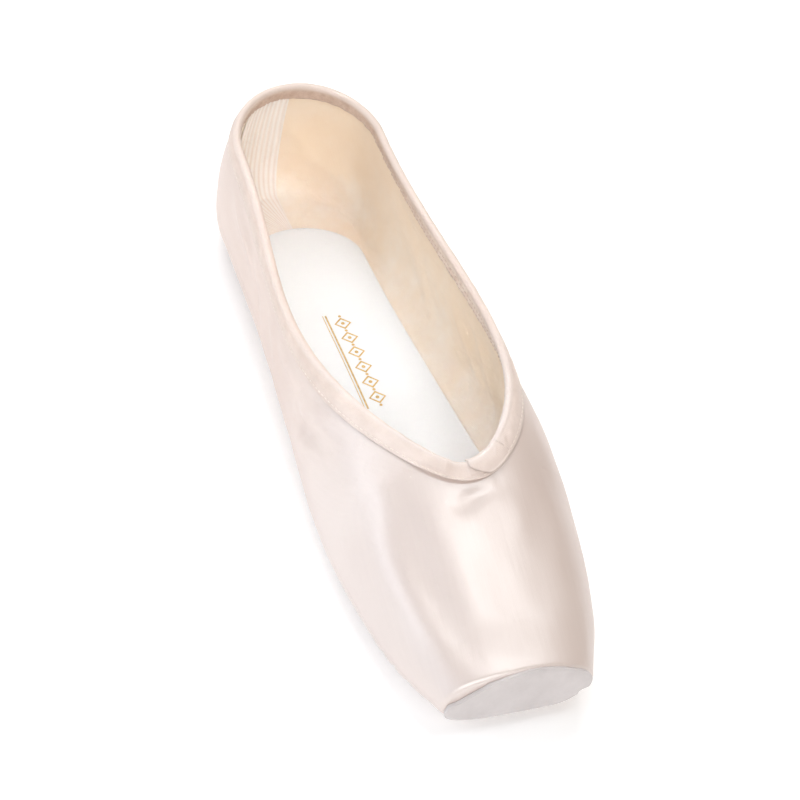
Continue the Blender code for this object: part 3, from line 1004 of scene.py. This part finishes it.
def casing_offset(cloth, row, column):
    """Height of the casing's cloth over its sheet: a flat tube, a sewn groove and a thin lip."""
    depth = column - BEND
    length = cloth.rows[-1]
    to_throat = np.minimum(row, length - row)
    left = np.where(row > length / 2, row - length, row)      # below 0 on the left of the throat
    slit = smooth((left + 15) / 6) * smooth((3.5 - left) / 3)
    tube = 0.22 * bell((depth - 2.2) / 1.4) - 0.12 * bell((depth - 0.5) / 0.5)
    groove = -(0.12 + 0.5 * slit) * bell((depth - STITCH_DEPTH + 0.5 * slit) / 0.4)
    lip = (0.04 + 1.1 * slit) * bell((depth - STITCH_DEPTH - 0.8) / 0.6)
    points, _ = on_sheet(cloth, row, column)
    gathers = 0.06 + 0.08 * bell(to_throat / 40)
    pucker = gathers * waves(points * [1.0, 1.0, 0.2], 4.0, 21) * smooth((5.0 - np.abs(depth - 1.2)) / 3)
    pucker += 0.16 * waves(points, 3.0, 23) * smooth((-1.8 - column) / 1.5)
    tucked = -0.6 * smooth((left + 6) / 3) * smooth((0.5 - left) / 2) * smooth((5 - depth) / 3)
    return np.maximum(tube * (1 - 0.6 * slit) + groove + lip + pucker + tucked, DEEPEST)


def depth_to_column(depth):
    """Column of the casing's sheet at a depth below the fold."""
    return depth + BEND


def build_casing(cloth, material):
    """The drawstring casing, folded over the edge and sewn down, with thin turned-in edges."""
    outside, inside, thickness = CASING
    ways = np.append(np.arange(0, cloth.rows[-1], 0.7), cloth.rows[-1])
    columns = np.linspace(-inside - BEND, outside + BEND, 44)
    row, column = np.meshgrid(ways, columns, indexing="ij")
    points, normals = on_sheet(cloth, row, column)
    relief = casing_offset(cloth, row, column)
    relief += crease_relief(Sheet(points, normals, ways, columns), CASING_CREASES, depth_to_column)
    relief = np.maximum(relief, DEEPEST)
    to_edge = np.minimum(columns[-1] - columns, columns - columns[0])
    full = thickness * (0.3 + 0.7 * smooth(to_edge / 1.1))
    top = points + normals * (relief + full)[..., None]
    under = points + normals * relief[..., None]
    threads = np.stack([column, row], -1)
    closed = np.concatenate([top, under[:, ::-1]], 1)
    piece = grid_mesh("casing", closed, np.concatenate([threads, threads[:, ::-1]], 1), round_rows=True)
    dress(piece, material, "casing_tape", "binding")


def build_casing_end(cloth, material):
    """End of the casing, cut on the slant and sewn down over its start at the throat."""
    outside, _, thickness = CASING
    down = np.linspace(BEND - 1.6, BEND + outside - 0.2, 22)
    share, column = np.meshgrid(np.linspace(0, 1, 18), down, indexing="ij")
    depth = column - BEND
    row = mix(np.maximum(1.1 * depth - 1.2, 0.0), 13.0 + 0 * depth, share)
    points, normals = on_sheet(cloth, row, column)
    rise = casing_offset(cloth, np.maximum(row, 1.5), column)
    rise += thickness * (1.25 - 1.1 * smooth((share - 0.4) / 0.6))
    points = points + normals * rise[..., None]
    piece = build_sheet("casing_end", points, np.stack([column, row], -1), TAPE, 1)
    dress(piece, material, "casing_tape", "binding")


def stitch_mesh(name, centres, along, outwards, length, radius):
    """Short rounded stitches, each sunk a little at both ends, in one mesh."""
    half = ((0.5, 0.35, -0.7), (0.42, 0.85, -0.25), (0.15, 1.0, 0.1))    # place, width, rise of each ring
    rings = np.array([(-place, width, rise) for place, width, rise in half] + list(half[::-1]))
    place, width, rise = rings.T[..., None, None]
    cosine, sine = circle(7).T[..., None]
    ahead, out = along[:, None, None], outwards[:, None, None]
    side = np.cross(along, outwards)[:, None, None]
    middle = centres[:, None, None] + ahead * place * length + out * rise * radius
    points = middle + (side * cosine + out * sine) * radius * width
    faces = []
    count, sides = points.shape[1:3]
    for start in range(0, points[..., 0].size, count * sides):
        faces.extend(tube_faces(start, count, sides))
        faces.append(tuple(range(start, start + sides))[::-1])
        faces.append(tuple(range(start + (count - 1) * sides, start + count * sides)))
    return add_mesh(name, points.reshape(-1, 3), faces)


def build_casing_stitches(cloth):
    """Stitch lines that hold the casing down, one outside and two inside."""
    _, inside, thickness = CASING
    pale = thread_material("casing_thread", (0.86, 0.75, 0.67))
    # partly painted shade: the inside thread's own tone is darkened for the shade of its sunken stitch
    # lines
    dark = thread_material("inside_thread_painted_shade", (0.66, 0.48, 0.38))
    length, radius, pitch = STITCH
    ways = np.arange(1.2, cloth.rows[-1] - 1.0, pitch)
    for name, column, material in (
        ("stitches_outside", STITCH_DEPTH + BEND, pale),
        ("stitches_inside", 0.8 - inside - BEND, dark),
        ("stitches_hem", 2.3 - inside - BEND, dark),
    ):
        height = thickness + casing_offset(cloth, ways, column) - 0.02
        centres, outwards = on_sheet(cloth, ways, column, height)
        ahead, _ = on_sheet(cloth, ways + 0.5, column, height)
        piece = stitch_mesh(name, centres, unit(ahead - centres), outwards, length, radius)
        dress(piece, material, "casing_tape", "binding")


def build_back_tape(skin, material):
    """Ribbed tape down the inside of the back seam."""
    outer, inner = BACK_TAPE
    down = np.linspace(-0.955, -0.04, 100)
    offset, column = np.meshgrid(np.linspace(outer, inner, 76), down, indexing="ij")
    row = skin.rows[-1] - offset * (1 + 0.85 * smooth((column + 0.45) / 0.3))    # spreads at the bottom
    across = (outer + inner - 2 * offset) / (outer - inner)
    ribs = 0.10 * (1 - 0.85 * smooth((column + 0.8) / 0.4)) * np.cos(across * np.pi * 9)
    edge = -0.12 * smooth((np.abs(across) - 0.88) / 0.12)
    points, _ = on_sheet(skin, row, column, -(WALL + 0.02) - ribs - edge - 0.08)
    piece = build_sheet("back_tape", points[::-1], np.stack([column * 48, row], -1)[::-1], TAPE, -1)
    dress(piece, material, "casing_tape", "upper")


# ------------------------------ flat pieces

def wall_rise(x, run):
    """Rise of the upper's inside over its flat bottom, where it turns up into the sides."""
    run = np.clip(run, 0.0, HEEL_PIVOT)
    flat = flat_at(run)
    reach = half_width_at(run) - WALL - flat
    height = widest_at(run) - OUTSOLE - GAP - lift(run) - WALL
    turn = np.clip((np.abs(x) - flat) / reach, 0.0, 1.0)
    return height * (1 - np.sqrt(1 - turn ** 2))


def flat_rings(outline, thickness, rim):
    """Closed rings over a flat piece with rounded ends and a rounded rim, from its middle underneath
    round the rim to its middle on top, and the distance of each point from the rim.
    """
    first, last = outline[0][0], outline[-1][0]
    ease = ROUNDED_END * (1 - np.cos(np.linspace(0, np.pi / 2, 15)[:-1]))
    straight = np.arange(first + ROUNDED_END, last - ROUNDED_END, 2.0)
    runs = np.concatenate([first + ease, straight, last - ease[::-1]])
    inside = np.clip(np.minimum(runs - first, last - runs) / ROUNDED_END, 0.0, 1.0)
    half_width = spline(listed(outline, 0), listed(outline, 1))(runs) * np.sqrt(1 - (1 - inside) ** 2)
    edge = np.column_stack([
        np.concatenate([half_width, -half_width[-2:0:-1]]),
        np.concatenate([runs, runs[-2:0:-1]]),
    ])
    spine = np.clip(edge[:, 1], first + ROUNDED_END * 0.9, last - ROUNDED_END * 0.9)
    inwards = np.column_stack([-edge[:, 0], spine - edge[:, 1]])
    reach = np.linalg.norm(inwards, axis=1)
    under = np.linspace(1, 0, 30)[:-1, None]
    turns = np.linspace(-np.pi / 2, np.pi / 2, 9)[:, None]
    over = np.linspace(0, 1, int(reach.max() / 1.3))[1:, None]
    round_rim = rim * (1 - np.cos(turns)) + 0 * reach
    inset = np.concatenate([mix(rim, reach, under), round_rim, mix(rim, reach, over)])
    up = np.concatenate([0 * under, (1 + np.sin(turns)) / 2, 0 * over + 1])
    place = edge + inwards / reach[:, None] * inset[..., None]
    return np.dstack([place, lift(place[..., 1]) + up * thickness]), inset


def build_flat(name, rings, material, slot, *nodes):
    """Closed flat piece through its rings."""
    dress(grid_mesh(name, rings, rings[..., :2].copy(), round_rows=True), material, slot, *nodes)


def build_outsole(material):
    """Leather outsole with a rounded rim and a sewn channel cut into its underside."""
    rings, inset = flat_rings(OUTSOLE_OUTLINE, OUTSOLE, 0.6)
    underneath = (rings[..., 2] - lift(rings[..., 1])) < 0.01
    rings[..., 2] += np.where(underneath, 0.7 * bell((inset - 3.5) / 0.6), 0.0)
    build_flat("outsole_leather", rings, material, "sole_leather", "outsole")


def sock_height(x, run):
    """Height of the sock's underside: it lies on the bottom and climbs a little at the sides."""
    return OUTSOLE + WALL + 2 * GAP + lift(run) + wall_rise(np.abs(x) + 0.4, run)


def build_sock(material):
    """White sock that lies on the bottom, with a soft edge that climbs a little at the sides."""
    rings, inset = flat_rings(SOCK_OUTLINE, SOCK, 0.55)
    x, run, height = np.moveaxis(rings, -1, 0)
    soft = 0.12 * waves(rings * [1.0, 1.0, 0.0], 24.0, 15) * smooth(inset / 4) * (height - lift(run)) / SOCK
    rings[..., 2] += sock_height(x, run) - lift(run) + np.maximum(soft, 0)
    build_flat("white_sock", rings, material, "sock", "insole")


def sock_top(x, run, rise=0.0):
    """Points on the sock's upper side."""
    x, run = np.broadcast_arrays(x, run)
    flat = np.stack([x, run, np.zeros(x.shape)], -1)
    soft = 0.12 * np.maximum(waves(flat, 24.0, 15), 0)
    return np.stack([x, run, sock_height(x, run) + SOCK + soft + rise], -1)


def build_ornament(material):
    """Plain gold ornament on the sock: a rule and a row of lozenges between small dots."""
    points, faces = [], []

    def add_band(outer, inner):
        """Flat ring of foil between two outlines with the same number of points."""
        faces.extend(tube_faces(len(points), 4, len(outer), closed=True))
        for outline, rise in ((outer, 0.02), (outer, 0.07), (inner, 0.07), (inner, 0.02)):
            points.extend(sock_top(outline[:, 0], outline[:, 1], rise))

    side, first, last, pitch = ORNAMENT
    dot = circle(24)
    diamond = dot / np.abs(dot).sum(1, keepdims=True)
    for run in np.arange(first + pitch / 2, last, pitch):
        add_band([side, run] + diamond * [2.9, pitch * 0.40], [side, run] + diamond * [2.3, pitch * 0.29])
        add_band([side, run] + dot * 0.62, [side, run] + dot * 0.05)
    for run in np.arange(first, last + 0.1, pitch):
        add_band([side, run] + dot * 0.5, [side, run] + dot * 0.05)
    steps = np.linspace(first - 1, last + 1, 60)
    for centre, width in ((side - 4.6, 0.28), (side - 5.6, 0.12)):
        away = np.repeat([-width, width], len(steps))
        runs = np.append(steps, steps[::-1])
        add_band(np.column_stack([centre + away, runs]), np.column_stack([centre + away * 0.1, runs]))
    dress(add_mesh("gold_ornament", np.array(points), faces), material, "sock", "insole")


def patch_reach(rim, middle):
    """Reach of the patch's leaf-shaped outline from its middle towards each point of a ring."""
    half_width, top, bottom = PATCH_LEAF
    x = half_width * np.cos(np.linspace(0, np.pi, 90))
    arch = np.clip(1 - (x / half_width) ** 2, 0.0, None)
    leaf = np.concatenate([
        np.column_stack([x, top * arch ** 0.95]),
        np.column_stack([-x, -bottom * arch ** 0.62])[1:-1],
    ])
    angle = np.unwrap(np.arctan2(leaf[:, 1], leaf[:, 0]))
    wanted = np.arctan2(rim[:, 1] - middle, rim[:, 0]) - np.radians(PATCH_TURN)
    return np.interp(wanted % (2 * np.pi), angle, np.linalg.norm(leaf, axis=1), period=2 * np.pi)


def patch_extent(rim):
    """How far the patch reaches towards each point of the platform's outline: 1 at the outline and 2 at
    the end of the rounding that it may cover, evened out round the ring.
    """
    middle = rim[:, 1].mean()
    half = np.hypot(rim[:, 0], rim[:, 1] - middle)
    reach = patch_reach(rim, middle)
    arc = TOE_ROUNDING * np.radians(55)
    extent = np.where(reach < half, reach / half, 1 + np.clip((reach - half) / arc, 0, 1))[:-1]
    extent = np.mean([np.roll(extent, shift) for shift in range(-7, 8)], axis=0)
    return np.append(extent, extent[0])


def build_tip_patch(material):
    """Suede patch over the platform: a leaf shape with a thin, slightly raised edge."""
    rounding = 13
    rings = toe_rings(0.06, 0.75, rounding)
    rows = np.append(np.linspace(0, 1, MIDDLE_RINGS + 1), 1 + np.linspace(0, 1, rounding)[1:])
    normals = facing(rings)
    normals[0] = (0.0, -1.0, 0.0)
    sheet = Sheet(rings, normals, rows, np.arange(rings.shape[1]))
    shares = np.append(np.linspace(0, 0.9, 26), np.linspace(0.9, 1, 9)[1:])[:, None]
    row = shares * patch_extent(rings[MIDDLE_RINGS][:, [0, 2]])
    column = np.broadcast_to(sheet.columns, row.shape)
    full = (PATCH + GAP) * (1 - 0.65 * smooth((shares - 0.965) / 0.035)) - 0.15
    lip = 0.15 * bell((shares - 0.955) / 0.02)
    worn = 0.06 * waves(on_sheet(sheet, row, column)[0], 11.0, 33)
    top, _ = on_sheet(sheet, row, column, full + lip + worn)
    under, _ = on_sheet(sheet, row, column, 0.0 * row)
    for side in (top, under):
        side[:, 0] = side[:, -1] = (side[:, 0] + side[:, -1]) / 2
    closed = np.concatenate([top, under[::-1]])[::-1]
    dress(grid_mesh("suede_patch", closed, closed[..., [0, 2]].copy()), material, "suede", "tip_patch")


# ------------------------------ light, floor and camera

def aim(name, data, place, target, roll=0.0):
    """Lamp or camera that looks at its target, in metres, from an azimuth, 0 at the toe and 90 at the
    right, an elevation and a distance, rolled about its own axis. Angles are in degrees.
    """
    azimuth, elevation = np.radians(place[:2])
    level = np.cos(elevation)
    back = Vector((np.sin(azimuth) * level, -np.cos(azimuth) * level, np.sin(elevation)))
    turned = back.to_track_quat("Z", "Y") @ Quaternion((0.0, 0.0, 1.0), np.radians(roll))
    aimed = bpy.data.objects.new(name, data)
    aimed.matrix_world = Matrix.Translation(Vector(target) + back * place[2]) @ turned.to_matrix().to_4x4()
    bpy.context.scene.collection.objects.link(aimed)
    return aimed


def build_floor(material):
    """Pale floor under the shoe."""
    half = 6.0
    mesh = bpy.data.meshes.new("studio_floor")
    corners = [(x * half, y * half, 0.0) for x, y in ((-1, -1), (1, -1), (1, 1), (-1, 1))]
    mesh.from_pydata(corners, [], [(0, 1, 2, 3)])
    mesh.materials.append(material)
    floor = bpy.data.objects.new("studio_floor", mesh)
    bpy.context.scene.collection.objects.link(floor)


def build_world():
    """White surroundings that are brighter on the left than on the right."""
    world = bpy.data.worlds.new("studio")
    world.use_nodes = True
    tree = world.node_tree
    sideways = axes_of(tree, node(tree, "TexCoord").outputs["Generated"])[0]
    shade = ramp(tree, moved(tree, sideways, -1.0, 1.0), [
        (0.0, (0.97, 1.05, 1.13)),
        (0.12, (0.94, 1.01, 1.08)),
        (0.25, (0.50, 0.51, 0.52)),
        (0.50, (0.50, 0.495, 0.49)),
        (0.78, (0.31, 0.265, 0.22)),
        (1.0, (0.22, 0.17, 0.125)),
    ])
    tree.links.new(shade, tree.nodes["Background"].inputs["Color"])
    bpy.context.scene.world = world


WIDE = 180.0      # spread of an ordinary lamp, in degrees
NARROW = 6.0      # spread of a lamp that shines into the shoe alone
MIDDLE_OF_FLOOR = (0.0, 0.0, 0.0)
WHITE = (1.0, 1.0, 1.0)
# soft rectangular lamps: name, azimuth, elevation and distance, size, power, colour, spread, target
LAMPS = (
    ("overhead", (53, 73, 1.25), (0.36, 0.42), 2.1, (0.97, 0.99, 1.0), WIDE, MIDDLE_OF_FLOOR),
    ("into_heel", (2, 44, 1.2), (0.05, 0.05), 0.0038, (0.92, 0.97, 1.0), NARROW, (-0.004, 0.095, 0.02)),
    ("into_toe", (-158, 46, 1.2), (0.1, 0.1), 0.0095, (1.0, 0.97, 0.93), NARROW, (0.011, -0.030, 0.014)),
    ("left", (-105, 38, 1.5), (1.6, 0.9), 3.6, (0.86, 0.91, 0.98), WIDE, MIDDLE_OF_FLOOR),
    ("front", (-6, 31, 1.6), (1.1, 1.0), 9.5, WHITE, WIDE, MIDDLE_OF_FLOOR),
    ("back", (170, 55, 1.6), (1.0, 1.0), 11.5, WHITE, WIDE, MIDDLE_OF_FLOOR),
)


def build_lamps():
    """Lamps of the table; the narrow ones leave no sparkle on gloss."""
    for name, place, size, power, colour, spread, target in LAMPS:
        light = bpy.data.lights.new(name, "AREA")
        light.shape = "RECTANGLE"
        light.size, light.size_y = size
        light.energy = power
        light.color = colour
        light.spread = np.radians(spread)
        aim(name, light, place, target).visible_glossy = spread == WIDE


LENS = 109.0                                 # focal length of the camera
CAMERA_PLACE = (-27.53, 44.05, 0.747)        # azimuth, elevation and distance
CAMERA_TARGET = (0.0017, -0.0055, 0.0207)
CAMERA_ROLL = 11.85


def build_studio():
    """World, floor, lamps, view transform and camera."""
    scene = bpy.context.scene
    scene.view_settings.view_transform = "Standard"
    build_world()
    build_floor(floor_material())
    build_lamps()
    data = bpy.data.cameras.new("camera")
    data.lens = LENS
    scene.camera = aim("camera", data, CAMERA_PLACE, CAMERA_TARGET, CAMERA_ROLL)


def build_shoe():
    """Every piece of the shoe."""
    skin = upper_sheet(step=1.25)
    folds = fold_relief(skin)
    cloth = casing_sheet(step=1.0)
    tape = tape_material()
    build_satin(skin, folds, satin_material())
    build_lining(skin, folds, cotton_material())
    build_casing(cloth, tape)
    build_casing_end(cloth, tape)
    build_casing_stitches(cloth)
    build_back_tape(skin, back_tape_material())
    build_outsole(leather_material())
    build_sock(sock_material())
    build_ornament(gold_material())
    build_tip_patch(suede_material())


build_studio()
build_shoe()
